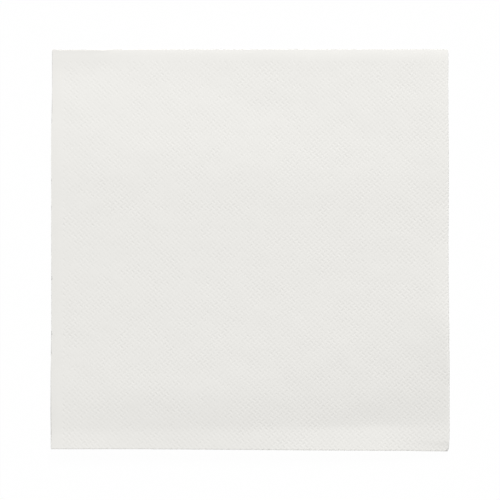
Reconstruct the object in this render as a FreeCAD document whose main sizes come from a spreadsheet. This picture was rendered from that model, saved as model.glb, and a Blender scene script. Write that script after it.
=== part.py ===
"""Paper napkin folded in quarters, as one sheet of two-ply tissue.

The sheet is folded in half twice. The first fold lies along the front edge (-Y) and lays one half
of the sheet on the other, so the section across it is a flat U: a pair of layers. The second fold
lies along the right edge (+X) and carries that whole pair round on top of itself, which makes four
layers. The open edges are at the back (+Y) and the left (-X). Both folds are pressed, so the sheet
closes up along them and stands a little looser in the middle.

Units are millimetres. +Z is up, and the origin is on the table under the middle of the napkin.
"""

import FreeCAD, Part
import Sketcher
import os

NODE = "folded_napkin"

# The driving sizes: name, value, what it is.
SIZES = [
    ("folded_width", 165.0, "left open edge to the second fold, along X"),
    ("folded_depth", 166.5, "first fold to the open back edge, along Y"),
    ("sheet_thickness", 0.30, "the two stamped plies together"),
    ("pair_gap", 0.55, "air between the two layers that the first fold joins"),
    ("middle_gap", 0.50, "air between the lower pair and the upper pair"),
    ("front_crease_gap", 0.10, "air left inside the pressed first fold"),
    ("right_crease_gap", 0.10, "air left inside the pressed second fold"),
    ("front_margin", 18.0, "band along the first fold where a pair closes up"),
    ("right_margin", 14.0, "band along the second fold where the two pairs close up"),
    ("back_step", 0.4, "how far the outer layers stop short of the inner ones at the back"),
    ("left_step", 0.4, "how far the upper pair stops short of the lower one at the left"),
]

# The sizes that follow from them: name, formula.
FOLLOWING_SIZES = [
    ("left_edge", "=-folded_width / 2"),
    ("back_edge", "=folded_depth / 2"),
    ("pair_height", "=2 * sheet_thickness + pair_gap"),
    ("pair_middle", "=pair_height / 2"),
    ("stack_height", "=2 * pair_height + middle_gap"),
    ("crease_inner_radius", "=front_crease_gap / 2"),
    ("crease_outer_radius", "=crease_inner_radius + sheet_thickness"),
    ("crease_centre", "=-folded_depth / 2 + crease_outer_radius"),
    ("front_margin_edge", "=-folded_depth / 2 + front_margin"),
    ("turn_radius", "=right_crease_gap / 2 + pair_middle"),
    ("turn_centre", "=folded_width / 2 - turn_radius - pair_middle"),
    ("right_margin_edge", "=folded_width / 2 - right_margin"),
]

# How a sketch numbers the points of a line or an arc, and how near counts as the same place.
START, END, CENTRE = 1, 2, 3
SAME_PLACE = 1e-6


def make_size_sheet(doc):
    """The spreadsheet whose cells hold every size."""
    sheet = doc.addObject("Spreadsheet::Sheet", "sizes")
    rows = [(name, str(value), note) for name, value, note in SIZES]
    rows += [(name, formula, "follows from the sizes above") for name, formula in FOLLOWING_SIZES]
    for row, (name, content, note) in enumerate(rows, start=1):
        sheet.set(f"A{row}", name)
        sheet.set(f"B{row}", content)
        sheet.set(f"C{row}", note)
        sheet.setAlias(f"B{row}", name)
    doc.recompute()
    return sheet


def make_sketch(body, name, plane_role):
    """An empty sketch on one of the body's own origin planes."""
    plane = next(item for item in body.Origin.OriginFeatures if item.Role == plane_role)
    sketch = body.newObject("Sketcher::SketchObject", name)
    sketch.AttachmentSupport = [(plane, "")]
    sketch.MapMode = "FlatFace"
    return sketch


def hold(sketch, kind, geometry, point, expression):
    """Hold one point of a curve at a distance from the sketch's origin, set by an expression."""
    name = f"{kind}_{geometry}_{point}"
    value = float(sketch.evalExpression(expression))
    sketch.addConstraint(Sketcher.Constraint(kind, -1, 1, geometry, point, value))
    sketch.renameConstraint(sketch.ConstraintCount - 1, name)
    sketch.setExpression(f"Constraints.{name}", expression)


def draw_chain(sketch, corners, bends, closed):
    """Draw straight runs and half-round bends through the corners, in order.

    corners are (across, up) expressions. bends gives, for the number of the corner where a
    half-round bend starts, the expressions of its far point and of its centre across.
    """

    def place(pair):
        across, up = (float(sketch.evalExpression(expression)) for expression in pair)
        return FreeCAD.Vector(across, up, 0)

    run_count = len(corners) if closed else len(corners) - 1
    ends = []
    for run in range(run_count):
        first, last = place(corners[run]), place(corners[(run + 1) % len(corners)])
        if run in bends:
            far_point, _ = bends[run]
            sketch.addGeometry(Part.Arc(first, place(far_point), last))
        else:
            sketch.addGeometry(Part.LineSegment(first, last))
        # A sketch turns every arc anticlockwise, so an arc may start at its later corner.
        runs_forward = sketch.getPoint(run, START).isEqual(first, SAME_PLACE)
        ends.append((START, END) if runs_forward else (END, START))

    for run, (start, end) in enumerate(ends):
        following = (run + 1) % len(corners)
        if following < run_count:
            link = Sketcher.Constraint("Coincident", run, end, following, ends[following][0])
            sketch.addConstraint(link)
        hold(sketch, "DistanceX", run, start, corners[run][0])
        hold(sketch, "DistanceY", run, start, corners[run][1])
        if run in bends:
            _, centre_across = bends[run]
            hold(sketch, "DistanceX", run, CENTRE, centre_across)
    if not closed:
        hold(sketch, "DistanceX", run_count - 1, ends[-1][1], corners[-1][0])
        hold(sketch, "DistanceY", run_count - 1, ends[-1][1], corners[-1][1])


def draw_pair_section(body):
    """The section across the first fold: a flat U, open at the back, pressed at the front.

    The outer layer lies on the table and the inner layer above it. Across the sketch is Y.
    """
    sketch = make_sketch(body, "pair_section", "YZ_Plane")
    sketch.setExpression("AttachmentOffset.Base.z", "sizes.left_edge")
    outer_end = "sizes.back_edge - sizes.back_step"
    inner_end = "sizes.back_edge"
    margin, crease = "sizes.front_margin_edge", "sizes.crease_centre"
    middle, top = "sizes.pair_middle", "sizes.pair_height"
    inner_layer_under = "sizes.pair_height - sizes.sheet_thickness"
    corners = [
        (outer_end, "0"),
        (margin, "0"),
        (crease, f"{middle} - sizes.crease_outer_radius"),
        (crease, f"{middle} + sizes.crease_outer_radius"),
        (margin, top),
        (inner_end, top),
        (inner_end, inner_layer_under),
        (margin, inner_layer_under),
        (crease, f"{middle} + sizes.crease_inner_radius"),
        (crease, f"{middle} - sizes.crease_inner_radius"),
        (margin, "sizes.sheet_thickness"),
        (outer_end, "sizes.sheet_thickness"),
    ]
    bends = {
        2: ((f"{crease} - sizes.crease_outer_radius", middle), crease),
        8: ((f"{crease} - sizes.crease_inner_radius", middle), crease),
    }
    draw_chain(sketch, corners, bends, closed=True)
    return sketch


def draw_second_fold_path(body):
    """The path that the pair follows: along the table, round the second fold and back on top.

    It runs through the middle of the pair. Across the sketch is X.
    """
    sketch = make_sketch(body, "second_fold_path", "XZ_Plane")
    mid_height = "sizes.stack_height / 2"
    lower, upper = "sizes.pair_middle", "sizes.stack_height - sizes.pair_middle"
    margin, turn = "sizes.right_margin_edge", "sizes.turn_centre"
    corners = [
        ("sizes.left_edge", lower),
        (margin, lower),
        (turn, f"{mid_height} - sizes.turn_radius"),
        (turn, f"{mid_height} + sizes.turn_radius"),
        (margin, upper),
        ("sizes.left_edge + sizes.left_step", upper),
    ]
    bends = {2: ((f"{turn} + sizes.turn_radius", mid_height), turn)}
    draw_chain(sketch, corners, bends, closed=False)
    return sketch


def make_folded_napkin(doc):
    """The whole sheet as one solid: the pair's section swept along the second fold's path."""
    body = doc.addObject("PartDesign::Body", NODE)
    body.Label = NODE
    section = draw_pair_section(body)
    path = draw_second_fold_path(body)
    doc.recompute()
    sheet = body.newObject("PartDesign::AdditivePipe", "folded_sheet")
    sheet.Profile = section
    sheet.Spine = (path, [])
    sheet.Mode = "Standard"
    sheet.Transition = "Transformed"
    doc.recompute()
    return body


def check(doc, bodies):
    """Stop if any object failed to build, or if a piece isn't one sound solid."""
    for item in doc.Objects:
        if "Invalid" in item.State or "Error" in item.State:
            raise RuntimeError(f"{item.Label} did not build: {item.State}")
    for body in bodies:
        shape = body.Shape
        if shape.isNull() or not shape.isValid() or len(shape.Solids) != 1:
            raise RuntimeError(f"{body.Label} is not one sound solid")


def main():
    doc = FreeCAD.newDocument("paper_napkin")
    make_size_sheet(doc)
    bodies = [make_folded_napkin(doc)]
    check(doc, bodies)
    os.makedirs("parts", exist_ok=True)
    for body in bodies:
        body.Shape.exportStep(os.path.join("parts", f"{body.Label}.step"))
        box = body.Shape.BoundBox
        print(f"{body.Label}: {body.Shape.Volume:.1f} mm3, {len(body.Shape.Faces)} faces")
        print(f"  X {box.XMin:.2f} to {box.XMax:.2f}, Y {box.YMin:.2f} to {box.YMax:.2f}")
        print(f"  Z {box.ZMin:.2f} to {box.ZMax:.2f}")


main()
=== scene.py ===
# %% [markdown]
# # A paper napkin folded in quarters
#
# The real thing is one nearly square sheet of tissue, two plies thick. A machine stamps it nearly all
# over with short dashes, which holds the plies together, then folds it in half twice. Four loose
# slabs would be quicker to make, but then the folds would be false. So this lesson does what the
# machine does: it cuts the sheet flat, stamps it, and folds it by moving its points. The size of the
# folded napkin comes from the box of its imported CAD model.

import math
from collections import namedtuple

import bmesh
import bpy
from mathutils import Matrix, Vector, noise


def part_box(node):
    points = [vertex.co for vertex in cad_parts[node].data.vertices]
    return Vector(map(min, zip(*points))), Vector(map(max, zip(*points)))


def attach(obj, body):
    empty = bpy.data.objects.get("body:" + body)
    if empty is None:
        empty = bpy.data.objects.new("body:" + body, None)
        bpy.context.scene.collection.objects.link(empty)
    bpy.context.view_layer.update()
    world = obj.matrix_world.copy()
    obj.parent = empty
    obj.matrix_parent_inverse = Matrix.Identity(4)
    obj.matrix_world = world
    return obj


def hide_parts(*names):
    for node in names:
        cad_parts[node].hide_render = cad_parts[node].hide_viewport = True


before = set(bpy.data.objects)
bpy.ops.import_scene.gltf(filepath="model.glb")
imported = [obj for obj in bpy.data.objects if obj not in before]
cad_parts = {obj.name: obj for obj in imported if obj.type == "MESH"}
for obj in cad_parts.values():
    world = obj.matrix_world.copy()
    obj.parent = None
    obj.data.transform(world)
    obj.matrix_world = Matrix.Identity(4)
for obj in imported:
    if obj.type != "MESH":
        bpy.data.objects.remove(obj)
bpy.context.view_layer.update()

MM = 0.001
NODE = "folded_napkin"
low, high = (Vector(corner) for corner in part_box(NODE))
LEFT, RIGHT = low.x, high.x
FRONT, BACK = low.y, high.y
STACK_HEIGHT = high.z
print(f"folded: {(RIGHT - LEFT) / MM:.1f} by {(BACK - FRONT) / MM:.1f} mm")
print(f"stack: {STACK_HEIGHT / MM:.1f} mm high")

# %% [markdown]
# ## How the sheet is folded
#
# The first fold runs along the front edge and makes a pair of layers, outer and inner. The second
# fold runs along the right edge and turns the pair over onto itself, which makes four layers.
# A flat point of the sheet is given by how far it lies from each fold, so both folds sit at zero:
# `along` is negative on the lower pair and positive on the upper one, and `across` is negative on
# the outer layers and positive on the inner ones. A layer is named by the two answers: is it in the
# upper pair, and is it an inner one?

# %% Sheet and fold sizes
THICKNESS = 0.30 * MM
CREASE_GAP = 0.10 * MM
FIRST_FOLD_RADIUS = (THICKNESS + CREASE_GAP) / 2
SECOND_FOLD_RADIUS = 1.05 * MM
FIRST_FOLD_LINE = FRONT + FIRST_FOLD_RADIUS + THICKNESS / 2
SECOND_FOLD_LINE = RIGHT - SECOND_FOLD_RADIUS - THICKNESS / 2

HALF_TURN_1 = math.pi / 2 * FIRST_FOLD_RADIUS
HALF_TURN_2 = math.pi / 2 * SECOND_FOLD_RADIUS
HALF_WIDTH = HALF_TURN_2 + SECOND_FOLD_LINE - LEFT
HALF_LENGTH = HALF_TURN_1 + BACK - FIRST_FOLD_LINE

BOTTOM, LOWER_INNER = (False, False), (False, True)
TOP, UPPER_INNER = (True, False), (True, True)
LAYERS = (BOTTOM, LOWER_INNER, TOP, UPPER_INNER)

# %% [markdown]
# ## The stamp
#
# A roller presses the dashes into the paper. They lean left and right in turn, like a fine basket
# weave, and one cell of the pattern holds one of each. Bump in the material alone would leave the
# model flat, so the dashes that show best, on the top layer, are real relief. Three columns and six
# rows of points for each cell, with every other row moved half a step along, put three points on
# each dash and six on the paper beside it, which is few enough for one mesh. The other layers are
# left smooth, and their material has the same dashes as bump.

# %% Stamp sizes and the dash as a formula
CELL_ALONG = 2.379 * MM
CELL_ACROSS = 2.412 * MM
COLUMNS_PER_CELL = 3
ROWS_PER_CELL = 6
COLUMN_STEP = CELL_ALONG / COLUMNS_PER_CELL
ROW_STEP = CELL_ACROSS / ROWS_PER_CELL
PLAIN_BORDER_ALONG = 5.4 * MM
PLAIN_BORDER_ACROSS = 4.6 * MM
DASH_DEPTH = 0.020 * MM
DASH_END_DEPTH = 0.6
ON_DASH = 0.05
DASH_REACH = 0.4

stamp_columns = round((HALF_WIDTH - HALF_TURN_2 - PLAIN_BORDER_ALONG) / COLUMN_STEP)
stamp_rows = round((HALF_LENGTH - HALF_TURN_1 - PLAIN_BORDER_ACROSS) / ROW_STEP)
print(f"stamped quarter: {stamp_columns} columns and {stamp_rows} rows")


def dash_depth(cells_along, cells_across):
    """How deep the stamp presses at a point, from 0 to 1. The point is counted in pattern cells."""
    rising = cells_along + cells_across
    falling = cells_along - cells_across
    nearest_rising, nearest_falling = round(rising), round(falling)
    off_rising = abs(rising - nearest_rising)
    off_falling = abs(falling - nearest_falling)
    leans_right = (nearest_rising + nearest_falling) % 2
    lengthways, sideways = (off_rising, off_falling) if leans_right else (off_falling, off_rising)
    if sideways > ON_DASH or lengthways > DASH_REACH:
        return 0.0
    return DASH_END_DEPTH if lengthways > ON_DASH else 1.0


# %% [markdown]
# ## Cutting the sheet
#
# The flat sheet is two faces with a rim round them. Each face is a plain grid, made with
# `create_grid` and then spaced out zone by zone: plain border, run, fold, run, plain border. The
# face that ends up on top is fine where the stamp needs it, and the other one is coarse. One fine
# grid thickened by Solidify would be simpler, but it would spend half its triangles on a side that
# nobody sees.

# %% Zones of the sheet in each direction
# Each zone is (where it ends, steps on the stamped face, steps on the other face).
border_start_along = HALF_TURN_2 + stamp_columns * COLUMN_STEP
border_start_across = HALF_TURN_1 + stamp_rows * ROW_STEP
ZONES_ALONG = [
    (-border_start_along, 2, 2),
    (-HALF_TURN_2, 10, 10),
    (HALF_TURN_2, 8, 8),
    (border_start_along, stamp_columns, 14),
    (HALF_WIDTH, 3, 3),
]
ZONES_ACROSS = [
    (-border_start_across, 5, 3),
    (-HALF_TURN_1, stamp_rows, 14),
    (HALF_TURN_1, 6, 6),
    (border_start_across, 10, 10),
    (HALF_LENGTH, 2, 2),
]
STAMPED_FACE, OTHER_FACE = 1, 2


def spaced(start, zones, steps_at):
    """The places of all the grid lines from start through the zones."""
    places = [start]
    for zone in zones:
        zone_start, end, steps = places[-1], zone[0], zone[steps_at]
        places += [zone_start + (end - zone_start) * step / steps for step in range(1, steps + 1)]
    return places


def add_face_grid(bm, steps_at, height):
    """One flat face of the sheet at this height, with its lines where the zones put them."""
    columns = spaced(-HALF_WIDTH, ZONES_ALONG, steps_at)
    rows = spaced(-HALF_LENGTH, ZONES_ACROSS, steps_at)
    count_along, count_across = len(columns) - 1, len(rows) - 1
    # The new grid runs from -1 to 1 both ways, so a point's place tells its column and row.
    grid = bmesh.ops.create_grid(bm, x_segments=count_along, y_segments=count_across, size=1.0)
    for vert in grid["verts"]:
        column = round((vert.co.x + 1) / 2 * count_along)
        row = round((vert.co.y + 1) / 2 * count_across)
        vert.co = (columns[column], rows[row], height)
    return grid["verts"]


sheet_mesh = bmesh.new()
stamped_verts = add_face_grid(sheet_mesh, STAMPED_FACE, THICKNESS / 2)
other_verts = add_face_grid(sheet_mesh, OTHER_FACE, -THICKNESS / 2)
print(f"two faces: {len(stamped_verts)} and {len(other_verts)} points")

# %% [markdown]
# ## Closing the rim
#
# The rim is where the knife cut through both plies. The two faces have different numbers of points
# along it, so it can't be filled with plain four-sided faces. `bridge_loops` joins two rows of edges
# that needn't match, and it is given one zone at a time, so the two spacings never drift apart at a
# fold. The edges between the rim and the faces are kept sharp, as a knife leaves them.

# %% Join the two faces along the rim
NEAR = 1e-7  # two places closer than this are the same


def rim_edges(bm, axis, side, start, end):
    """The open edges of both faces on one side of the sheet, between two places along it."""
    other_axis = 1 - axis
    return [
        edge for edge in bm.edges
        if edge.is_boundary
        and abs(edge.verts[0].co.z - edge.verts[1].co.z) < NEAR
        and all(abs(vert.co[axis] - side) < NEAR for vert in edge.verts)
        and all(start - NEAR < vert.co[other_axis] < end + NEAR for vert in edge.verts)
    ]


rim_faces = set()
for axis, half_size, half_other, zones in (
    (0, HALF_WIDTH, HALF_LENGTH, ZONES_ACROSS),
    (1, HALF_LENGTH, HALF_WIDTH, ZONES_ALONG),
):
    for side in (-half_size, half_size):
        zone_start = -half_other
        for zone in zones:
            edges = rim_edges(sheet_mesh, axis, side, zone_start, zone[0])
            rim_faces.update(bmesh.ops.bridge_loops(sheet_mesh, edges=edges)["faces"])
            zone_start = zone[0]

bmesh.ops.recalc_face_normals(sheet_mesh, faces=sheet_mesh.faces)
for edge in {edge for face in rim_faces for edge in face.edges}:
    between_rim_and_face = sum(face in rim_faces for face in edge.link_faces) == 1
    edge.smooth = not between_rim_and_face
open_edges = sum(not edge.is_manifold for edge in sheet_mesh.edges)
print(f"rim: {len(rim_faces)} faces, {open_edges} open edges left")

# %% [markdown]
# ## How hard the roller presses
#
# Soft paper takes a stamp unevenly. On this napkin it shows best near the closed corner, where the
# two folds meet, and least near the open one, and it also varies from patch to patch and from dash
# to dash. An even pattern would look printed, so the depth of each point is multiplied by a
# pressure, to which three sizes of noise are added. `noise.noise` gives the same values each run.

# %% How hard the roller presses
PRESS_AT_OPEN_CORNER = 0.65
PRESS_AT_CLOSED_CORNER = 1.30
LEAST_PRESS = 0.10
UNEVENNESS = [(22 * MM, 0.4), (7 * MM, 0.8), (2.2 * MM, 0.9)]  # (size of a patch, share)


def pressure(along, across):
    """How hard the roller presses at a point of the flat sheet. 1 is a full dash."""
    to_closed_corner = 1 - (abs(along) / HALF_WIDTH + abs(across) / HALF_LENGTH) / 2
    extra = (PRESS_AT_CLOSED_CORNER - PRESS_AT_OPEN_CORNER) * to_closed_corner
    press = PRESS_AT_OPEN_CORNER + extra
    for patch, share in UNEVENNESS:
        press += share * noise.noise(Vector((along, across, 0)) / patch)
    return max(press, LEAST_PRESS)


print(f"pressure in the middle of the top layer: {pressure(HALF_WIDTH / 2, -HALF_LENGTH / 2):.2f}")

# %% [markdown]
# ## Pressing the dashes
#
# A dash leans, but the grid's edges run straight, and a leaning dent in a straight grid shades like
# a row of teeth. So every other row is moved half a step along first. `triangulate` with its
# short-edge method cuts each leaning four-sided face the right way, and dissolving the edges that
# run along the rows joins the halves in pairs. What is left is a net of diamonds whose edges all
# follow the dashes, so both kinds of dash shade alike. The points on a dash are pushed down into
# the sheet's thickness.

# %% Stagger the rows, cut the faces and press the dashes
sheet_mesh.verts.index_update()
stamp_faces = set()
stamp_row_of = {}
dash_middles = 0
for vert in stamped_verts:
    along, across = vert.co.xy
    column = round((along - HALF_TURN_2) / COLUMN_STEP)
    row = round((-HALF_TURN_1 - across) / ROW_STEP)
    if not (0 < column < stamp_columns and 0 < row < stamp_rows):
        continue
    stamp_row_of[vert.index] = row
    if row % 2:
        vert.co.x += COLUMN_STEP / 2
    cells_along = (vert.co.x - HALF_TURN_2) / CELL_ALONG
    depth = dash_depth(cells_along, row / ROWS_PER_CELL)
    vert.co.z -= DASH_DEPTH * depth * pressure(along, across)
    dash_middles += depth == 1
    stamp_faces.update(vert.link_faces)


def in_one_stamp_row(edge):
    """True when both ends of an edge lie in the same row of the stamp."""
    first, second = (stamp_row_of.get(vert.index) for vert in edge.verts)
    return first is not None and first == second


bmesh.ops.triangulate(sheet_mesh, faces=list(stamp_faces), quad_method="SHORT_EDGE")
row_edges = [edge for edge in sheet_mesh.edges if in_one_stamp_row(edge)]
bmesh.ops.dissolve_edges(sheet_mesh, edges=row_edges)
print(f"dashes pressed: {dash_middles}")
print(f"diamonds: {len(row_edges)}")

# %% [markdown]
# ## The soft bends of the top
#
# Soft tissue traps air. The folded stack is fullest in the middle, and its top falls away towards
# the back edge and the front fold in nearly flat fields that meet in soft bends. A cloth simulation
# could make soft bends, but not where the real ones lie. So each bend is a line past which the top
# slopes more steeply, and the slope comes in over a length, without a kink. A bend with a negative
# slope takes some of the fall away again. Low humps lift the top along the right fold and at the
# open corner, and hollows lower it beside that corner, at the front on the left, and at the closed
# corner, where the two folds meet.

# %% The soft bends of the top
Bend = namedtuple("Bend", "x y falls_towards slope rounding")
Hump = namedtuple("Hump", "x y half_width half_depth height")

BENDS = [
    Bend(0 * MM, 24 * MM, math.radians(87.5), 0.031, 21 * MM),
    Bend(8 * MM, 54 * MM, math.radians(64), -0.013, 12 * MM),
    Bend(30 * MM, -40 * MM, math.radians(-71), 0.022, 14 * MM),
    Bend(0 * MM, -57 * MM, math.radians(-90), 0.016, 8 * MM),
    Bend(64 * MM, -50 * MM, math.radians(-65), 0.018, 7 * MM),
    Bend(64 * MM, -68 * MM, math.radians(-65), -0.010, 6 * MM),
]
HUMPS = [
    Hump(86 * MM, -28 * MM, 13 * MM, 16 * MM, 0.38 * MM),
    Hump(86 * MM, 52 * MM, 12 * MM, 24 * MM, 0.25 * MM),
    Hump(-78 * MM, 86 * MM, 12 * MM, 7 * MM, 0.10 * MM),
    Hump(-68 * MM, 76 * MM, 20 * MM, 8 * MM, -0.13 * MM),
    Hump(92 * MM, -90 * MM, 20 * MM, 10 * MM, -0.34 * MM),
    Hump(-45 * MM, -78 * MM, 28 * MM, 14 * MM, -0.20 * MM),
]


def fall(x, y, bend):
    """How far the top has fallen at (x, y) because of one soft bend."""
    towards_x, towards_y = math.cos(bend.falls_towards), math.sin(bend.falls_towards)
    past = max((x - bend.x) * towards_x + (y - bend.y) * towards_y, 0.0)
    if past < bend.rounding:
        return bend.slope * past * past / (2 * bend.rounding)
    return bend.slope * (past - bend.rounding / 2)


def rise(x, y, hump):
    """How far the top is raised at (x, y) by one low hump, or lowered by a hollow."""
    off_x, off_y = (x - hump.x) / hump.half_width, (y - hump.y) / hump.half_depth
    return hump.height * math.exp(-off_x * off_x - off_y * off_y)


back_fall = sum(fall(0, BACK, bend) for bend in BENDS)
print(f"the bends lower the middle of the back edge by {back_fall / MM:.2f} mm")

# %% [markdown]
# ## The front fold and the back edge
#
# The front fold is creased hard, which thins the paper, and the crease holds up a narrow strip of
# the top, which lies level or springs up towards the fold. Next to the open corner the back edge
# curls up slightly, and beside that it droops. Bevel or Smooth would treat a whole edge alike, so
# each of these is a small term of its own that is eased in along the edge. They all share `ease`,
# an S-shaped step that starts and ends level.

# %% Strip and squeeze at the front fold, curl and droop at the back edge
FRONT_STRIP, FRONT_STRIP_SLANT = -74.1 * MM, 0.020
FRONT_STRIP_EASE = 0.7 * MM
STRIP_RISE = 0.033
STRIP_RISE_START, STRIP_RISE_TOP, STRIP_RISE_END = -20 * MM, 50 * MM, 76 * MM
LEFT_STRIP_RISE = 0.016
LEFT_STRIP_START, LEFT_STRIP_TOP = -50 * MM, -68 * MM
FOLD_SQUEEZE, SQUEEZE_WIDTH = 0.42, 4 * MM
CURL_START, CURL_END = -80 * MM, -61 * MM
CURL_EASE = 3 * MM
CUT_DROOP = 0.07 * MM
CUT_DROOP_START, CUT_DROOP_END = -15 * MM, 12 * MM


def ease(value, start, end):
    """0 at start, 1 at end, and an even S-shaped step between them."""
    share = min(max((value - start) / (end - start), 0.0), 1.0)
    return share * share * (3 - 2 * share)


def front_spring(x):
    """How steeply the strip along the front fold springs up towards it, at this place along it."""
    spring = STRIP_RISE * ease(x, STRIP_RISE_START, STRIP_RISE_TOP)
    spring *= ease(x, STRIP_RISE_END, STRIP_RISE_TOP)
    return spring + LEFT_STRIP_RISE * ease(x, LEFT_STRIP_START, LEFT_STRIP_TOP)


def squeeze(y):
    """How much of its thickness the sheet keeps. The front fold's hard crease takes some of it."""
    spared = ease(y, FIRST_FOLD_LINE, FIRST_FOLD_LINE + SQUEEZE_WIDTH)
    return FOLD_SQUEEZE + (1 - FOLD_SQUEEZE) * spared


def by_open_corner(x):
    """1 along the stretch of the back edge that curls up, next to the open corner, else 0."""
    return ease(x, CURL_START - CURL_EASE, CURL_START) * ease(x, CURL_END + CURL_EASE, CURL_END)


def cut_droop(x):
    """How far the back edge droops at this place along it."""
    droop = CUT_DROOP * ease(x, CURL_END, CURL_END + CURL_EASE)
    return droop * ease(x, CUT_DROOP_END, CUT_DROOP_START)


print(f"at the front fold the sheet keeps {squeeze(FRONT):.0%} of its thickness")

# %% [markdown]
# ## The height of the top
#
# One function adds all of this up. The bends stop at the strip along the front fold. The top also
# rolls down a little at the right fold and at the two cut edges, and two sizes of ripple keep it
# from looking machined. However hard it is pressed, a stack can't be thinner than its paper, so the
# sum is held above the height of four layers with hardly any air, with a rounded corner where it
# meets that limit. The curl and the droop come last.

# %% The height of the top
SLACK = 0.08 * MM
LEFT_DROP, LEFT_SLOPE_WIDTH = 0.18 * MM, 30 * MM
RIGHT_DROP, RIGHT_ROLL_WIDTH = 0.30 * MM, 8 * MM
RIGHT_DROP_START, RIGHT_DROP_END = -45 * MM, -15 * MM
EDGE_ROLL_DROP, EDGE_ROLL_WIDTH, EDGE_ROLL_POWER = 0.20 * MM, 6 * MM, 3
RIPPLES = [(24 * MM, 0.04 * MM), (9 * MM, 0.034 * MM)]  # (size, height)
PRESSED_FLAT, PRESSED_EASE = 1.28 * MM, 0.10 * MM
CURL_HEIGHT, CURL_WIDTH, CURL_POWER = 0.08 * MM, 0.9 * MM, 2
CUT_DROOP_WIDTH = 2 * MM


def close_to(distance, width, power):
    """1 at an edge, falling along a curve of this power to 0 at this width in from it."""
    return max(1 - distance / width, 0) ** power


def soft_maximum(value, least, rounding):
    """The larger of the two, with the corner between them rounded off."""
    spare = (value - least) / rounding
    return least + rounding * (max(spare, 0) + math.log1p(math.exp(-abs(spare))))


def top_height(x, y):
    """The height of the top of the stack over a point of the table."""
    # In the strip along the front fold the bends stay as they are at its inner side.
    level_y = soft_maximum(y, FRONT_STRIP + FRONT_STRIP_SLANT * x, FRONT_STRIP_EASE)
    height = STACK_HEIGHT - SLACK
    height -= sum(fall(x, level_y, bend) for bend in BENDS)
    height += sum(rise(x, y, hump) for hump in HUMPS)
    height -= LEFT_DROP * ease(x, LEFT + LEFT_SLOPE_WIDTH, LEFT)
    right_drop = RIGHT_DROP * ease(y, RIGHT_DROP_START, RIGHT_DROP_END)
    height -= right_drop * ease(x, RIGHT - RIGHT_ROLL_WIDTH, RIGHT)
    height += front_spring(x) * (level_y - y)
    height -= EDGE_ROLL_DROP * close_to(BACK - y, EDGE_ROLL_WIDTH, EDGE_ROLL_POWER)
    height -= EDGE_ROLL_DROP * close_to(x - LEFT, EDGE_ROLL_WIDTH, EDGE_ROLL_POWER)
    for size, ripple in RIPPLES:
        height += ripple * noise.noise(Vector((x, y, 0)) / size)
    height = soft_maximum(height, PRESSED_FLAT * squeeze(y), PRESSED_EASE)
    height += CURL_HEIGHT * by_open_corner(x) * close_to(BACK - y, CURL_WIDTH, CURL_POWER)
    return height - cut_droop(x) * close_to(BACK - y, CUT_DROOP_WIDTH, CURL_POWER)


PLACES = {
    "middle": (0, 0),
    "back edge": (0, BACK),
    "open corner": (LEFT, BACK),
    "front fold": (0, FRONT),
    "closed corner": (RIGHT, FRONT),
    "left edge": (LEFT, 0),
}
for name, (x, y) in PLACES.items():
    print(f"{name}: {top_height(x, y) / MM:.2f} mm")

# %% [markdown]
# ## Sharing the air between the layers
#
# Four layers have three gaps between them. In the open middle the gaps share the air evenly. At the
# front fold each pair is creased shut, so all the air lies between the two pairs, and at the right
# fold it is the other way round: there the gap between the pairs closes. One height is enough to
# say this, the height of a pair, because the upper pair mirrors the lower one.

# %% The height of one pair of layers
RIGHT_MARGIN = 16 * MM
FRONT_MARGIN = 18 * MM
GAPS = len(LAYERS) - 1


def pair_height(x, y):
    """The height of one pair of layers, from its outer face to its inner one."""
    thickness, crease_gap = THICKNESS * squeeze(y), CREASE_GAP * squeeze(y)
    air = top_height(x, y) - len(LAYERS) * thickness
    from_right_fold = ease(x, SECOND_FOLD_LINE, RIGHT - RIGHT_MARGIN)
    middle_gap = CREASE_GAP + (air / GAPS - CREASE_GAP) * from_right_fold
    free_gap = (air - middle_gap) / 2
    opening = ease(y, FIRST_FOLD_LINE, FRONT + FRONT_MARGIN)
    return 2 * thickness + crease_gap + (free_gap - crease_gap) * opening


for name, (x, y) in PLACES.items():
    print(f"{name}: a pair of layers is {pair_height(x, y) / MM:.2f} mm high")

# %% [markdown]
# ## Folding it
#
# Folding is a rule that takes each flat point to its folded place. Outside the folds a point keeps
# its distance from them and only changes height. In a fold it runs round a half circle. A Simple
# Deform modifier bends a mesh too, but it can't let the height of the stack vary on the way.

# %% The folding rule
def pair_point(x, across, outward):
    """Where a point of a pair lies: its y, and its height above the pair's outer face."""
    y = FIRST_FOLD_LINE + max(abs(across) - HALF_TURN_1, 0)
    from_outer = (THICKNESS / 2 - outward) * squeeze(y)
    if abs(across) > HALF_TURN_1:
        return y, from_outer if across < 0 else pair_height(x, y) - from_outer
    turn = (across / HALF_TURN_1 + 1) * math.pi / 2
    full = pair_height(x, FIRST_FOLD_LINE)
    radius = full / 2 - from_outer
    return FIRST_FOLD_LINE - radius * math.sin(turn), full / 2 - radius * math.cos(turn)


def fold(along, across, outward):
    """Take a point of the flat sheet to its place in the folded napkin."""
    x = min(SECOND_FOLD_LINE, SECOND_FOLD_LINE - abs(along) + HALF_TURN_2)
    y, height = pair_point(x, across, outward)
    top = top_height(x, y)
    if along < -HALF_TURN_2:
        return Vector((x, y, height))
    if along > HALF_TURN_2:
        return Vector((x, y, top - height))
    turn = (along / HALF_TURN_2 + 1) * math.pi / 2
    radius = top / 2 - height
    return Vector((x + radius * math.sin(turn), y, top / 2 - radius * math.cos(turn)))


right_fold_middle = fold(0, -HALF_LENGTH / 2, THICKNESS / 2)
print(f"the right fold reaches {right_fold_middle.x / MM:.1f} mm, the box {RIGHT / MM:.1f} mm")

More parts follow.
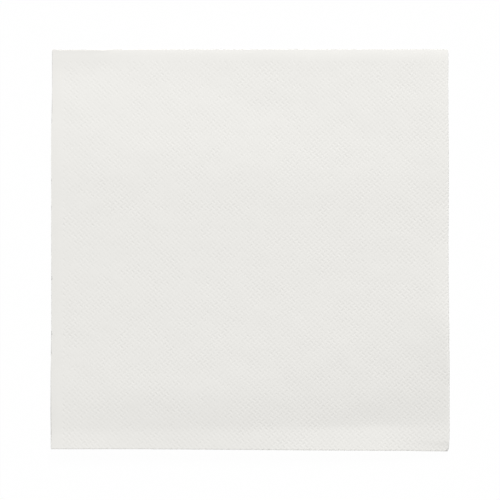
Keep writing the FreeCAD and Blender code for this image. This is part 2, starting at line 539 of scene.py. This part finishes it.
# %% [markdown]
# ## Cut edges that don't end together
#
# A machine never folds soft paper quite onto itself, so the four layers don't end together. At the
# back they end at slightly different places, and all of them a little shorter where the edge curls
# up. At the left each layer stops a little short of the one below, the upper pair lies slightly
# askew, and its edge has small nicks from the knife. Cutting the folded mesh with a Boolean would
# leave ragged faces, so the flat points of the plain border are drawn in before the fold.

# %% How far each layer stops short of the edge
BACK_SHORTFALL = {BOTTOM: 0.40 * MM, LOWER_INNER: 0.15 * MM, UPPER_INNER: 0.0, TOP: 0.25 * MM}
LEFT_SHORTFALL = {BOTTOM: 0.0, LOWER_INNER: 0.08 * MM, UPPER_INNER: 0.17 * MM, TOP: 0.22 * MM}
UPPER_PAIR_SKEW = 0.0013
CURL_SHORTFALL = 0.25 * MM
EDGE_WANDER = [(30 * MM, 0.09 * MM), (2.5 * MM, 0.05 * MM)]  # (size, depth)
FIRST_BACK_EDGE, FIRST_LEFT_EDGE = 1, 5
NOISE_BETWEEN_EDGES = 7.3
NICKS = [53 * MM, 28 * MM, 17 * MM, -12 * MM, -35 * MM, -43 * MM, -74 * MM]
NICK_WIDTH = 0.7 * MM
NICK_DEPTH = 0.35 * MM


def wander(place, edge_number):
    """How far a cut edge strays at this place along it. Each edge strays in its own way."""
    return sum(
        depth * noise.noise(Vector((place / size, edge_number * NOISE_BETWEEN_EDGES, 0)))
        for size, depth in EDGE_WANDER
    )


def nicked(y):
    """How deep the knife's nicks reach in from the left edge at this place along it."""
    return NICK_DEPTH * sum(math.exp(-(((y - nick) / NICK_WIDTH) ** 2)) for nick in NICKS)


def trim(along, across):
    """Draw a flat point in where its layer's cut edge stops short. Only the plain border shrinks."""
    upper, inner = along > 0, across > 0
    x = SECOND_FOLD_LINE - abs(along) + HALF_TURN_2
    y = FIRST_FOLD_LINE + abs(across) - HALF_TURN_1
    layer_number = 2 * upper + inner
    back_short = BACK_SHORTFALL[upper, inner] + wander(x, FIRST_BACK_EDGE + layer_number)
    left_short = LEFT_SHORTFALL[upper, inner] + wander(y, FIRST_LEFT_EDGE + layer_number)
    back_short += CURL_SHORTFALL * by_open_corner(x)
    if upper:
        left_short += UPPER_PAIR_SKEW * (BACK - y)
        left_short += nicked(y)
    near_left = ease(abs(along), border_start_along, HALF_WIDTH)
    near_back = ease(abs(across), border_start_across, HALF_LENGTH)
    along -= math.copysign(left_short * near_left, along)
    across -= math.copysign(back_short * near_back, across)
    return along, across


middle_left = trim(HALF_WIDTH, -HALF_LENGTH / 2)[0]
print(f"the top layer stops {(HALF_WIDTH - middle_left) / MM:.2f} mm short, halfway up the left edge")

# %% [markdown]
# ## An outline that isn't quite true
#
# Folded at speed, no napkin is a perfect rectangle. The left and right edges step in and out a
# little, the right fold leans out towards the front, and the front fold runs askew and reaches
# forward again at the closed corner. Near that corner the lower pair's fold shows slightly in front
# of the upper pair's. A Lattice could bend the outline, but small named shifts can be set against
# the real edges one by one.

# %% How the outline wanders
LEFT_STEPS = [(-43 * MM, 0.26 * MM), (16 * MM, -0.06 * MM), (54 * MM, 0.36 * MM)]
RIGHT_STEPS = [
    (-77 * MM, 0.20 * MM), (-49 * MM, -0.20 * MM), (-42 * MM, -0.30 * MM), (-30 * MM, -0.17 * MM),
    (11 * MM, 0.10 * MM), (60 * MM, 0.07 * MM), (73 * MM, 0.26 * MM),
]
HALF_STEP_LENGTH = 4 * MM
RIGHT_SLANT = 0.026
RIGHT_SLANT_START, RIGHT_SLANT_END = -73 * MM, -54.5 * MM
FRONT_SETBACK = 0.35 * MM
FRONT_SLANT = 0.0068
FRONT_SLANT_START, FRONT_SLANT_END = -50 * MM, 62 * MM
CORNER_REACH = 0.30 * MM
CORNER_REACH_START, CORNER_REACH_TOP = 60 * MM, 78 * MM
BACK_SHIFT = 0.06 * MM
EAR_SHIFT = 0.30 * MM
EAR_NEAR, EAR_FAR, EAR_EASE = 3 * MM, 15 * MM, 5 * MM
EAR_REACH = 25 * MM


def stepped(place, steps):
    """The sum of the small steps that an edge has taken by this place along it."""
    return sum(
        amount * ease(place, at - HALF_STEP_LENGTH, at + HALF_STEP_LENGTH)
        for at, amount in steps
    )


def front_setback(x):
    """How far back the front edge lies from its box at this place along it."""
    slant_x = min(max(x, FRONT_SLANT_START), FRONT_SLANT_END)
    setback = FRONT_SETBACK + FRONT_SLANT * (FRONT_SLANT_END - slant_x)
    return setback - CORNER_REACH * ease(x, CORNER_REACH_START, CORNER_REACH_TOP)


def ear(y, along):
    """1 on the part of the lower pair that shows in front near the closed corner, else 0."""
    amount = ease(-along, -HALF_TURN_2, EAR_NEAR) * (1 - ease(-along, EAR_FAR, EAR_FAR + EAR_EASE))
    return amount * (1 - ease(y, FRONT, FRONT + EAR_REACH))


def true_outline(point, along):
    """Shift a folded point to where the real outline and its stacked folds lie."""
    from_left = (point.x - LEFT) / (RIGHT - LEFT)
    from_front = (point.y - FRONT) / (BACK - FRONT)
    left_shift, right_shift = stepped(point.y, LEFT_STEPS), stepped(point.y, RIGHT_STEPS)
    right_shift += RIGHT_SLANT * max(RIGHT_SLANT_END - max(point.y, RIGHT_SLANT_START), 0)
    shift_x = left_shift * (1 - from_left) + right_shift * from_left
    shift_y = front_setback(point.x) * (1 - from_front) + BACK_SHIFT * from_front
    shift_y -= EAR_SHIFT * ear(point.y, along)
    return Vector((point.x + shift_x, point.y + shift_y, point.z))


left_setback, right_setback = front_setback(LEFT) / MM, front_setback(RIGHT) / MM
print(f"the front edge lies {left_setback:.2f} mm back at the left, {right_setback:.2f} at the right")

# %% [markdown]
# ## The closed corner
#
# Where the two folds meet, eight plies would have to turn at one point, so the real corner ends up
# round, and rounder on the upper pair. A bevel would cut through the layers. Instead a rule draws
# the square corner in to a quarter circle. It moves the points of the corner in proportion, so no
# kink forms.

# %% Round the closed corner
LOWER_CORNER_RADIUS, UPPER_CORNER_RADIUS = 2.0 * MM, 3.2 * MM


def round_closed_corner(point, along):
    """Draw the square closed corner in to a quarter circle, which is larger on the upper pair."""
    upper = ease(along, -HALF_TURN_2, HALF_TURN_2)
    radius = LOWER_CORNER_RADIUS + (UPPER_CORNER_RADIUS - LOWER_CORNER_RADIUS) * upper
    right = max(point.x - RIGHT + radius, 0) / radius
    forward = max(FRONT + radius - point.y, 0) / radius
    x = point.x - radius * right * (1 - math.sqrt(1 - forward ** 2 / 2))
    y = point.y + radius * forward * (1 - math.sqrt(1 - right ** 2 / 2))
    return Vector((x, y, point.z))


square_corner = Vector((RIGHT, FRONT, 0))
drawn_in = (round_closed_corner(square_corner, HALF_WIDTH) - square_corner).length
print(f"the upper pair's corner is drawn in by {drawn_in / MM:.2f} mm")

# %% [markdown]
# ## Folding the whole sheet
#
# Each point of the mesh now goes through all the rules in turn: its cut edge is trimmed, it is
# folded, the closed corner is rounded, and the outline is made true. Its flat place is kept, because
# the material needs it. Moving points keeps every face, so the mesh stays closed.

# %% Fold the sheet
cut_places = [vert.co.copy() for vert in sheet_mesh.verts]
for vert, place in zip(sheet_mesh.verts, cut_places):
    folded = fold(*trim(place.x, place.y), place.z)
    vert.co = true_outline(round_closed_corner(folded, place.x), place.x)

print(f"folded volume: {sheet_mesh.calc_volume(signed=True) / MM ** 3:.0f} mm3")
print(f"highest point: {max(vert.co.z for vert in sheet_mesh.verts) / MM:.2f} mm")

# %% [markdown]
# ## Where each face goes when the finish is baked
#
# Baking turns the material into pictures that are laid over the faces, and a UV map says which part
# of the picture each face gets. An automatic unwrap wouldn't know which sides show. Here each side
# of each layer gets a box of its own, with gaps between them. The top and the underside get large
# ones, because they are all that shows. The hidden sides are stacked in a narrow column, and the
# four edges of the rim in a thin one.

# %% Boxes of the bake map
BAKE_GAP = 0.005
BAKE_WIDE = 0.44
BAKE_NARROW = 0.08
BAKE_RIM = 0.01
RIM_BANDS = 4

wide_height = 1 - 2 * BAKE_GAP
bake_places = {
    (TOP, True): (BAKE_GAP, BAKE_GAP, BAKE_WIDE, wide_height),
    (BOTTOM, True): (BAKE_WIDE + 2 * BAKE_GAP, BAKE_GAP, BAKE_WIDE, wide_height),
}
hidden_sides = [
    (layer, stamped)
    for layer in LAYERS for stamped in (False, True)
    if (layer, stamped) not in bake_places
]
for number, side in enumerate(hidden_sides):
    bottom = BAKE_GAP + number / len(hidden_sides)
    height = 1 / len(hidden_sides) - 2 * BAKE_GAP
    bake_places[side] = (2 * BAKE_WIDE + 3 * BAKE_GAP, bottom, BAKE_NARROW, height)


def side_bake_place(place, side):
    """Where a point of one side of one layer goes on the bake map."""
    left, bottom, width, height = bake_places[side]
    return left + width * abs(place.x) / HALF_WIDTH, bottom + height * abs(place.y) / HALF_LENGTH


def rim_bake_place(place):
    """Where a point of the cut rim goes on the bake map: one band for each of its four edges."""
    if HALF_WIDTH - abs(place.x) < NEAR:
        band, share = int(place.x > 0), (place.y / HALF_LENGTH + 1) / 2
    else:
        band, share = 2 + int(place.y > 0), (place.x / HALF_WIDTH + 1) / 2
    across = BAKE_RIM * (place.z / THICKNESS + 0.5)
    upwards = (band + BAKE_GAP + share * (1 - 2 * BAKE_GAP)) / RIM_BANDS
    return 1 - BAKE_GAP / 2 - BAKE_RIM + across, upwards


print(f"bake map: 2 large boxes, {len(hidden_sides)} small ones and {RIM_BANDS} bands for the rim")

# %% [markdown]
# ## The finished mesh
#
# Each corner of each face remembers where it lay on the flat sheet, counted in pattern cells, so the
# material's own dashes follow the paper round the folds. Object coordinates would run straight
# through the layers instead. Four layers of numbers tell the material the rest: which faces lie
# inside the plain border, which points are part of the relief, how hard the roller pressed, and how
# deep in the sheet a point lies.

# %% Keep the flat places as maps and make the object
SHEET_MAP, BAKE_MAP = "cut_sheet", "OFBake"
STAMP_ZONE, PRESSED, PRESSURE, THROUGH = "stamp_zone", "pressed", "pressure", "through"

sheet_map = sheet_mesh.loops.layers.uv.new(SHEET_MAP)
bake_map = sheet_mesh.loops.layers.uv.new(BAKE_MAP)
stamp_zone = sheet_mesh.faces.layers.float.new(STAMP_ZONE)
pressed_layer = sheet_mesh.verts.layers.float.new(PRESSED)
pressure_layer = sheet_mesh.verts.layers.float.new(PRESSURE)
through_layer = sheet_mesh.verts.layers.float.new(THROUGH)

for vert, place in zip(sheet_mesh.verts, cut_places):
    vert[pressed_layer] = 1.0 if vert.index in stamp_row_of else 0.0
    vert[pressure_layer] = pressure(place.x, place.y)
    vert[through_layer] = place.z / THICKNESS
for face in sheet_mesh.faces:
    face.smooth = True
    places = [cut_places[loop.vert.index] for loop in face.loops]
    middle = sum(places, Vector()) / len(places)
    is_rim = min(place.z for place in places) < 0 < max(place.z for place in places)
    in_zone = abs(middle.x) < border_start_along and abs(middle.y) < border_start_across
    face[stamp_zone] = 1.0 if in_zone and not is_rim else 0.0
    side = ((middle.x > 0, middle.y > 0), middle.z > 0)
    for loop, place in zip(face.loops, places):
        cells = (place.x - HALF_TURN_2) / CELL_ALONG, (-HALF_TURN_1 - place.y) / CELL_ACROSS
        loop[sheet_map].uv = cells
        loop[bake_map].uv = rim_bake_place(place) if is_rim else side_bake_place(place, side)

mesh = bpy.data.meshes.new("napkin")
sheet_mesh.to_mesh(mesh)
sheet_mesh.free()
napkin = bpy.data.objects.new("napkin", mesh)
bpy.context.scene.collection.objects.link(napkin)
triangles = sum(len(polygon.vertices) - 2 for polygon in mesh.polygons)
print(f"napkin: {triangles} triangles")

# %% [markdown]
# ## Helpers for nodes
#
# A material is a net of nodes. In the editor each node is placed, set and linked by hand, and in a
# script each takes a few lines. These helpers take them over, so that the cells below can be read
# as formulas. A Map Range node with a smooth step does for a material what `ease` does for a shape.

# %% Helpers for node groups
def new_group(name, inputs, outputs):
    """A node group with named inputs and outputs. Returns it with its two end nodes."""
    group = bpy.data.node_groups.new(name, "ShaderNodeTree")
    for socket, kind, value in inputs:
        item = group.interface.new_socket(socket, in_out="INPUT", socket_type=kind)
        if value is not None:
            item.default_value = value
    for socket in outputs:
        group.interface.new_socket(socket, in_out="OUTPUT", socket_type="NodeSocketFloat")
    return group, group.nodes.new("NodeGroupInput"), group.nodes.new("NodeGroupOutput")


def feed(tree, socket, value):
    """Give a socket a plain value or another node's output."""
    if isinstance(value, bpy.types.NodeSocket):
        tree.links.new(value, socket)
    else:
        socket.default_value = value


def calculate(tree, operation, *values):
    """Add one Math node and return its result. A value is a number or a node's output."""
    node = tree.nodes.new("ShaderNodeMath")
    node.operation = operation
    for socket, value in zip(node.inputs, values):
        feed(tree, socket, value)
    return node.outputs[0]


def step_down(tree, value, start, end):
    """1 below start, 0 above end, with a smooth step between."""
    node = tree.nodes.new("ShaderNodeMapRange")
    node.interpolation_type = "SMOOTHSTEP"
    feed(tree, node.inputs["Value"], value)
    feed(tree, node.inputs["From Min"], start)
    feed(tree, node.inputs["From Max"], end)
    feed(tree, node.inputs["To Min"], 1.0)
    feed(tree, node.inputs["To Max"], 0.0)
    return node.outputs["Result"]


# %% [markdown]
# ## The stamp as a formula in the material
#
# The material has the dashes too. They sharpen the relief on the top layer, and they are all there
# is on the others. A picture of the pattern would blur close to, so the dashes come from the same
# formula as the relief, and both fall in the same places. The formula is a node group, which keeps
# the material readable and could serve another paper as well.

# %% Node group: the stamp's dashes
def stamped_dashes_group():
    """1 at the bottom of a dash and 0 between dashes. All lengths are in pattern cells."""
    group, given, result = new_group(
        "Stamped dashes",
        [
            ("Vector", "NodeSocketVector", None),
            ("Half Length", "NodeSocketFloat", 0.42),
            ("Half Width", "NodeSocketFloat", 0.17),
            ("Softness", "NodeSocketFloat", 0.10),
        ],
        ["Pressed"],
    )
    split = group.nodes.new("ShaderNodeSeparateXYZ")
    group.links.new(given.outputs["Vector"], split.inputs[0])
    rising = calculate(group, "ADD", split.outputs["X"], split.outputs["Y"])
    falling = calculate(group, "SUBTRACT", split.outputs["X"], split.outputs["Y"])
    nearest_rising = calculate(group, "ROUND", rising)
    nearest_falling = calculate(group, "ROUND", falling)
    off_rising = calculate(group, "ABSOLUTE", calculate(group, "SUBTRACT", rising, nearest_rising))
    off_falling = calculate(
        group, "ABSOLUTE", calculate(group, "SUBTRACT", falling, nearest_falling)
    )
    # A ping-pong of 1 makes 0 of an even number and 1 of an odd one.
    nearest_sum = calculate(group, "ADD", nearest_rising, nearest_falling)
    leans_right = calculate(group, "PINGPONG", nearest_sum, 1.0)
    difference = calculate(group, "SUBTRACT", off_rising, off_falling)
    swap = calculate(group, "MULTIPLY", leans_right, difference)
    lengthways = calculate(group, "ADD", off_falling, swap)
    sideways = calculate(group, "SUBTRACT", off_rising, swap)
    inside = []
    for distance, reach in ((lengthways, "Half Length"), (sideways, "Half Width")):
        start = calculate(group, "SUBTRACT", given.outputs[reach], given.outputs["Softness"])
        end = calculate(group, "ADD", given.outputs[reach], given.outputs["Softness"])
        inside.append(step_down(group, distance, start, end))
    group.links.new(calculate(group, "MULTIPLY", *inside), result.inputs["Pressed"])
    return group


stamped_dashes = stamped_dashes_group()
print(f"{stamped_dashes.name}: {len(stamped_dashes.nodes)} nodes")

# %% [markdown]
# ## Creping and fibres
#
# Close to, tissue isn't smooth. Creping, the fine wrinkles from scraping the sheet off its drying
# roll, runs all one way. The fibres lie thicker in some places than in others, which shows as faint
# clouds. Modelling either would take millions of faces, so Noise textures give their height and
# their shade. Stretching the coordinates turns round grains into wrinkles.

# %% Node group: creping and fibres
WRINKLE_STRETCH = (1, 5, 1)  # wrinkles come out five times as long as wide


def tissue_fibres_group():
    """The paper's fine relief, and the faint clouds where the fibres lie thicker."""
    group, given, result = new_group(
        "Tissue fibres",
        [
            ("Vector", "NodeSocketVector", None),
            ("Crepe Scale", "NodeSocketFloat", 2.4),
            ("Fibre Scale", "NodeSocketFloat", 9.0),
            ("Cloud Scale", "NodeSocketFloat", 0.45),
        ],
        ["Height", "Cloud"],
    )
    stretched = group.nodes.new("ShaderNodeVectorMath")
    stretched.operation = "MULTIPLY"
    stretched.inputs[1].default_value = WRINKLE_STRETCH
    group.links.new(given.outputs["Vector"], stretched.inputs[0])
    grain = {}
    for name, vector, scale, detail in (
        ("crepe", stretched.outputs[0], "Crepe Scale", 2.0),
        ("fibre", given.outputs["Vector"], "Fibre Scale", 3.0),
        ("cloud", given.outputs["Vector"], "Cloud Scale", 2.0),
    ):
        texture = group.nodes.new("ShaderNodeTexNoise")
        texture.inputs["Detail"].default_value = detail
        group.links.new(vector, texture.inputs["Vector"])
        group.links.new(given.outputs[scale], texture.inputs["Scale"])
        grain[name] = texture.outputs["Fac"]
    total = calculate(group, "ADD", grain["crepe"], grain["fibre"])
    average = calculate(group, "MULTIPLY", total, 0.5)
    group.links.new(average, result.inputs["Height"])
    group.links.new(grain["cloud"], result.inputs["Cloud"])
    return group


tissue_fibres = tissue_fibres_group()
print(f"{tissue_fibres.name}: {len(tissue_fibres.nodes)} nodes")

# %% [markdown]
# ## Tissue paper
#
# Tissue is soft and matt, so the Principled BSDF is rough and hardly shines. One layer alone would
# let light through, and a Translucent shader could show that, but four layers hide it. The dashes
# and the fibres are two Bump nodes in a row, where the second works on the normal of the first.
# Where the mesh has relief of its own, the dashes' bump is weaker.

# %% The tissue material's relief
ROUGHNESS = 0.92
SPECULAR = 0.2
MESH_SHARE = 0.45
DASH_BUMP_DEPTH = 0.024 * MM
FIBRE_BUMP_DEPTH = 0.012 * MM

tissue = bpy.data.materials.new("tissue_paper")
tissue.use_nodes = True
tree = tissue.node_tree
shader = tree.nodes["Principled BSDF"]
shader.inputs["Roughness"].default_value = ROUGHNESS
shader.inputs["Specular IOR Level"].default_value = SPECULAR


def attribute(name):
    """One of the mesh's own layers of numbers."""
    node = tree.nodes.new("ShaderNodeAttribute")
    node.attribute_name = name
    return node.outputs["Fac"]


def group_node(group, vector):
    """A node group placed in the material, with its coordinates linked."""
    node = tree.nodes.new("ShaderNodeGroup")
    node.node_tree = group
    tree.links.new(vector, node.inputs["Vector"])
    return node


def bump(height, distance, normal=None):
    """A Bump node for this height, on top of an earlier bump's normal if one is given."""
    node = tree.nodes.new("ShaderNodeBump")
    node.inputs["Distance"].default_value = distance
    tree.links.new(height, node.inputs["Height"])
    if normal is not None:
        tree.links.new(normal, node.inputs["Normal"])
    return node


flat_place = tree.nodes.new("ShaderNodeUVMap")
flat_place.uv_map = SHEET_MAP
dashes = group_node(stamped_dashes, flat_place.outputs["UV"])
fibres = group_node(tissue_fibres, flat_place.outputs["UV"])

left_for_bump = calculate(tree, "MULTIPLY_ADD", attribute(PRESSED), -MESH_SHARE, 1.0)
dash_mark = calculate(tree, "MULTIPLY", dashes.outputs["Pressed"], attribute(STAMP_ZONE))
dash_mark = calculate(tree, "MULTIPLY", dash_mark, attribute(PRESSURE))
dash_height = calculate(tree, "MULTIPLY", dash_mark, left_for_bump)
dash_bump = bump(dash_height, DASH_BUMP_DEPTH)
dash_bump.invert = True
fibre_bump = bump(fibres.outputs["Height"], FIBRE_BUMP_DEPTH, dash_bump.outputs["Normal"])
tree.links.new(fibre_bump.outputs["Normal"], shader.inputs["Normal"])
mesh.materials.append(tissue)
print(f"{tissue.name}: {len(tree.nodes)} nodes so far")

# %% [markdown]
# ## The colour of tissue
#
# Tissue is a warm white. It is a little lighter where the fibres lie thick. A pressed dash is painted
# a little darker, as painted shade for the soft shade at its bottom. On the cut rim a darker line
# shows where the two plies meet. One flat colour would look like plastic, so each of these is a Mix
# node laid over the last, with a mask that says where.

# %% The tissue material's colour
THICK_COLOUR = (0.848, 0.838, 0.808, 1)
THIN_COLOUR = (0.834, 0.824, 0.794, 1)
# painted shade: the darker colour laid into the bottom of a pressed dash
DASH_COLOUR = (0.810, 0.800, 0.769, 1)
DASH_COLOUR_SHARE = 0.40
PLY_LINE_COLOUR = (0.66, 0.65, 0.62, 1)
PLY_LINE_WIDTH = 0.10


def mix_colour(share, first, second):
    """The first colour with this share of the second. Each is a colour or a node's output."""
    node = tree.nodes.new("ShaderNodeMix")
    node.data_type = "RGBA"
    tree.links.new(share, node.inputs["Factor"])
    feed(tree, node.inputs["A"], first)
    feed(tree, node.inputs["B"], second)
    return node.outputs["Result"]


paper = mix_colour(fibres.outputs["Cloud"], THIN_COLOUR, THICK_COLOUR)
# painted shade: each pressed dash is darkened a little, for the soft shade at its bottom
dash_painted_shade = calculate(tree, "MULTIPLY", dash_mark, DASH_COLOUR_SHARE)
paper = mix_colour(dash_painted_shade, paper, DASH_COLOUR)
off_middle = calculate(tree, "ABSOLUTE", attribute(THROUGH))
ply_line = step_down(tree, off_middle, PLY_LINE_WIDTH / 2, PLY_LINE_WIDTH)
tree.links.new(mix_colour(ply_line, paper, PLY_LINE_COLOUR), shader.inputs["Base Color"])
print(f"{tissue.name}: {len(tree.nodes)} nodes")

# %% [markdown]
# ## Floor
#
# The napkin lies on a plain white floor. More light on it would wash out the paper as well, so
# the floor glows, but only for rays that come from the camera or from a shiny or clear surface. To
# the light that falls on it, it is a plain matt white. A small matt share for the camera keeps a
# faint shadow.

# %% White floor
FLOOR_HALF_WIDTH = 3.0
FLOOR_COLOUR = (0.88, 0.88, 0.88, 1)
GLOW_SHARE = 0.98

floor_mesh = bpy.data.meshes.new("floor")
grid = bmesh.new()
bmesh.ops.create_grid(grid, x_segments=1, y_segments=1, size=FLOOR_HALF_WIDTH)
grid.to_mesh(floor_mesh)
grid.free()
floor = bpy.data.objects.new("floor", floor_mesh)
bpy.context.scene.collection.objects.link(floor)

floor_paint = bpy.data.materials.new("white_floor")
floor_paint.use_nodes = True
paint_tree = floor_paint.node_tree
paint_tree.nodes.clear()
output = paint_tree.nodes.new("ShaderNodeOutputMaterial")
matt = paint_tree.nodes.new("ShaderNodeBsdfDiffuse")
matt.inputs["Color"].default_value = FLOOR_COLOUR
glow = paint_tree.nodes.new("ShaderNodeEmission")
ray = paint_tree.nodes.new("ShaderNodeLightPath")
seen = calculate(paint_tree, "MAXIMUM", ray.outputs["Is Camera Ray"], ray.outputs["Is Glossy Ray"])
seen = calculate(paint_tree, "MAXIMUM", seen, ray.outputs["Is Transmission Ray"])
mix = paint_tree.nodes.new("ShaderNodeMixShader")
paint_tree.links.new(calculate(paint_tree, "MULTIPLY", seen, GLOW_SHARE), mix.inputs["Fac"])
paint_tree.links.new(matt.outputs[0], mix.inputs[1])
paint_tree.links.new(glow.outputs[0], mix.inputs[2])
paint_tree.links.new(mix.outputs[0], output.inputs["Surface"])
floor_mesh.materials.append(floor_paint)
print(f"floor: {2 * FLOOR_HALF_WIDTH:.0f} m square")

# %% [markdown]
# ## Light
#
# An even light from all round would hide the stamp. A low lamp beyond the back edge brings it out:
# the wall of a dash that faces the lamp is light and the other wall is dark. A weak lamp in front
# keeps the front fold from going dark, and a soft room light fills in the rest.

# %% Soft room light, a low key lamp and a weak fill
WHITE = (1, 1, 1, 1)
ROOM_LIGHT = 0.30
Lamp = namedtuple("Lamp", "name azimuth elevation distance size power")
LAMPS = [
    Lamp("key", math.radians(9), math.radians(19.5), 8.0, 2.0, 1021),
    Lamp("fill", math.radians(189), math.radians(16), 8.0, 2.0, 340),
]

world = bpy.data.worlds.new("studio")
world.use_nodes = True
room = world.node_tree.nodes["Background"]
room.inputs["Color"].default_value = WHITE
room.inputs["Strength"].default_value = ROOM_LIGHT
bpy.context.scene.world = world

for lamp in LAMPS:
    towards = Vector((
        math.sin(lamp.azimuth) * math.cos(lamp.elevation),
        math.cos(lamp.azimuth) * math.cos(lamp.elevation),
        math.sin(lamp.elevation),
    ))
    light_data = bpy.data.lights.new(lamp.name, "AREA")
    light_data.shape = "DISK"
    light_data.size = lamp.size
    light_data.energy = lamp.power
    light = bpy.data.objects.new(lamp.name, light_data)
    light.location = towards * lamp.distance
    light.rotation_euler = towards.to_track_quat("Z", "Y").to_euler()
    bpy.context.scene.collection.objects.link(light)
    print(f"{lamp.name} lamp: {light.location.z:.2f} m above the floor")

# %% [markdown]
# ## Camera
#
# The camera looks straight down on the middle of the napkin. A long lens from well above shows its
# outline with hardly any perspective, where a short one close by would show its side walls too. The
# view transform is Standard, so that a colour renders as it is written.

# %% Camera straight above
VIEW_WIDTH = 206.1 * MM
LENS, SENSOR = 100, 36
VIEW_CENTRE = (0.0, 0.24 * MM)

camera_data = bpy.data.cameras.new("camera")
camera_data.lens = LENS
camera_data.sensor_width = SENSOR
camera = bpy.data.objects.new("camera", camera_data)
camera.location = (*VIEW_CENTRE, STACK_HEIGHT + VIEW_WIDTH * LENS / SENSOR)
bpy.context.scene.collection.objects.link(camera)
bpy.context.scene.camera = camera
bpy.context.scene.view_settings.view_transform = "Standard"
print(f"camera: {camera.location.z:.3f} m above the floor")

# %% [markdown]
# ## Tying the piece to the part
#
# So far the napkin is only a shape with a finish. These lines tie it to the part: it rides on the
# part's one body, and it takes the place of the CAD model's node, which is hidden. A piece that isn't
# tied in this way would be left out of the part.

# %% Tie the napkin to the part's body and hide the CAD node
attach(napkin, "root")
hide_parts(NODE)
print(f"{napkin.name} takes the place of {NODE}")
